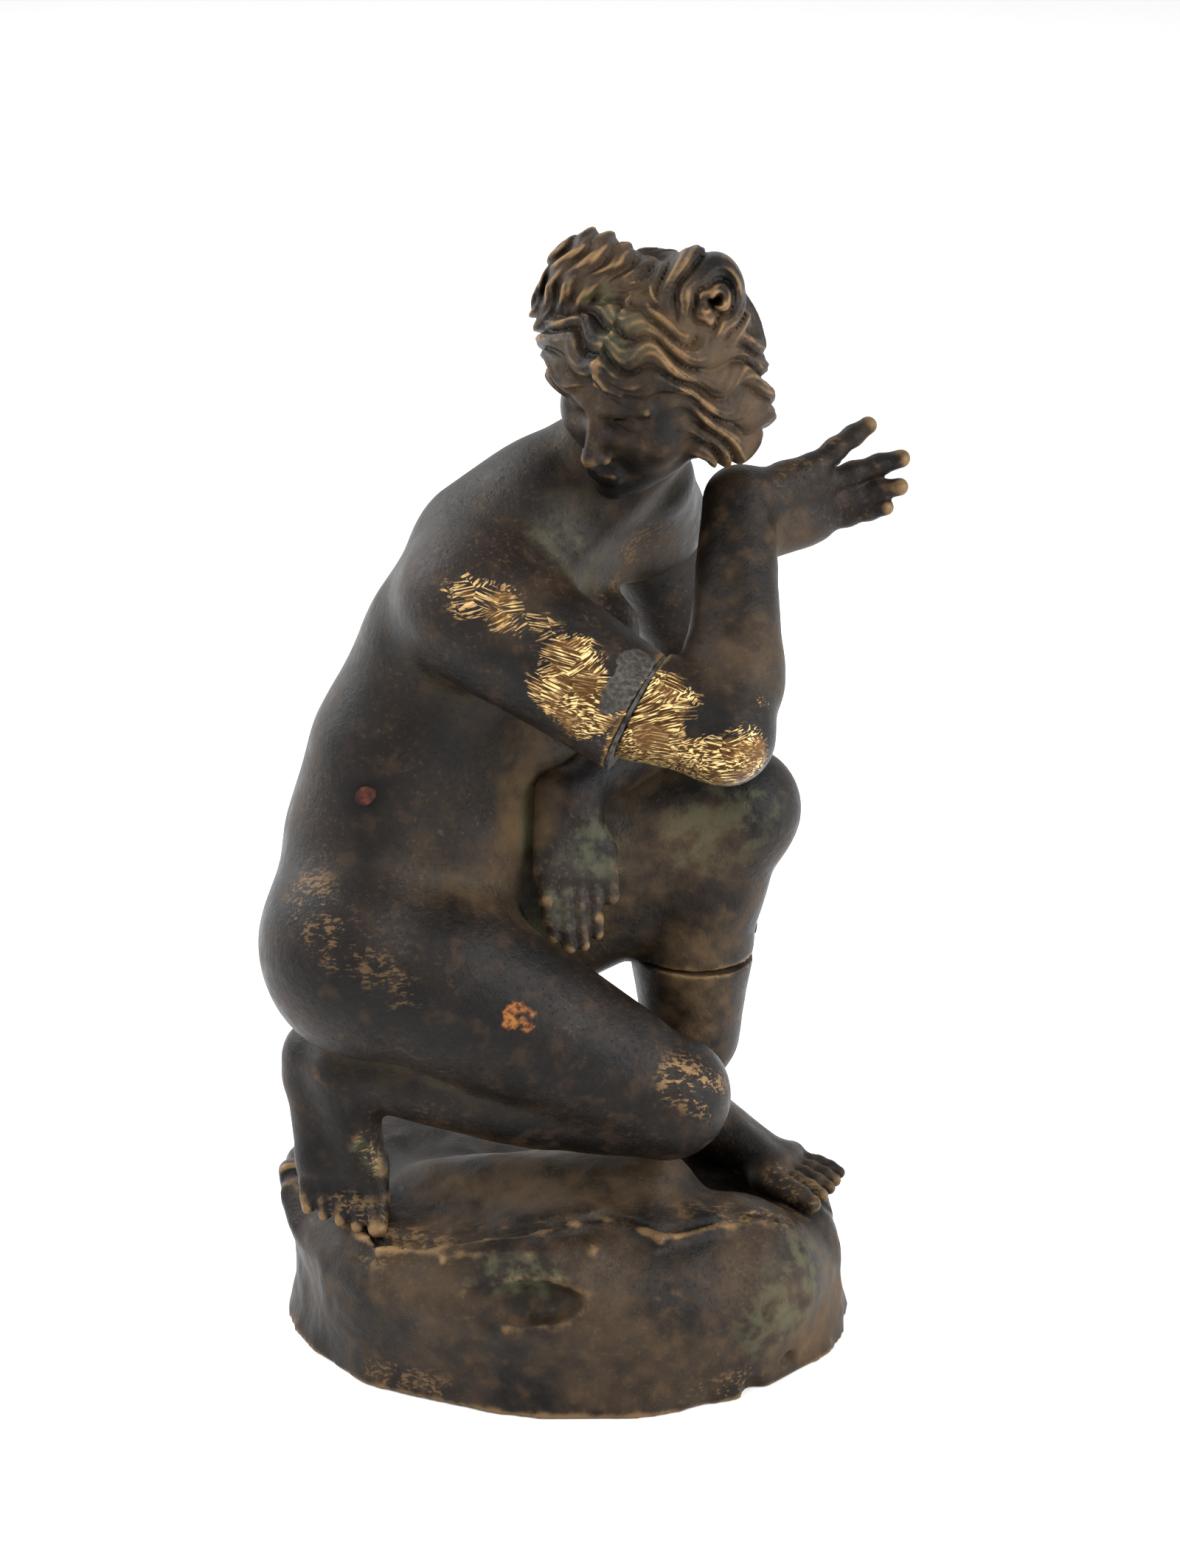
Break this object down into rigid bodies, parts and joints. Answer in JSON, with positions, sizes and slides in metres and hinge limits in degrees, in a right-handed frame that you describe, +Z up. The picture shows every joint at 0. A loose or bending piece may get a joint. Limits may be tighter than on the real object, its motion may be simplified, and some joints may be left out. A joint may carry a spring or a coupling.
{
  "type": "statuette",
  "caption": "Patinated bronze statuette of a nude crouching bather with the hair in a bow knot, on a rocky oval base, made of pinned castings.",
  "frame": {"origin": "on the plane of the base's underside, under the middle of the bounding box", "axes": "+Z up, +X the side the figure's knees point to, +Y away from the figure's right side; the base's long axis lies near X"},
  "size_m": [0.094, 0.0666, 0.1742],
  "materials": {
    "bronze": "dark brown to black satin patina, worn to brown gold on the ridges, verdigris in the hollows",
    "solder": "dull grey soft solder, filed",
    "iron": "rusted iron",
    "steel": "dull turned steel"
  },
  "bodies": {
    "root": {"base": "bronze", "torso": "bronze", "head": "bronze", "right_forearm": "bronze", "left_arm": "bronze", "left_lower_leg": "bronze", "neck_pin": "bronze", "right_arm_pin": "bronze", "left_shoulder_pin": "bronze", "left_shin_pin": "bronze", "right_arm_solder": "solder", "thigh_core_pin": "iron", "back_core_pin": "iron", "left_foot_stud": "steel", "left_foot_washer": "steel", "left_foot_nut": "steel", "right_foot_stud": "steel", "right_foot_washer": "steel", "right_foot_nut": "steel"}
  },
  "joints": []
}
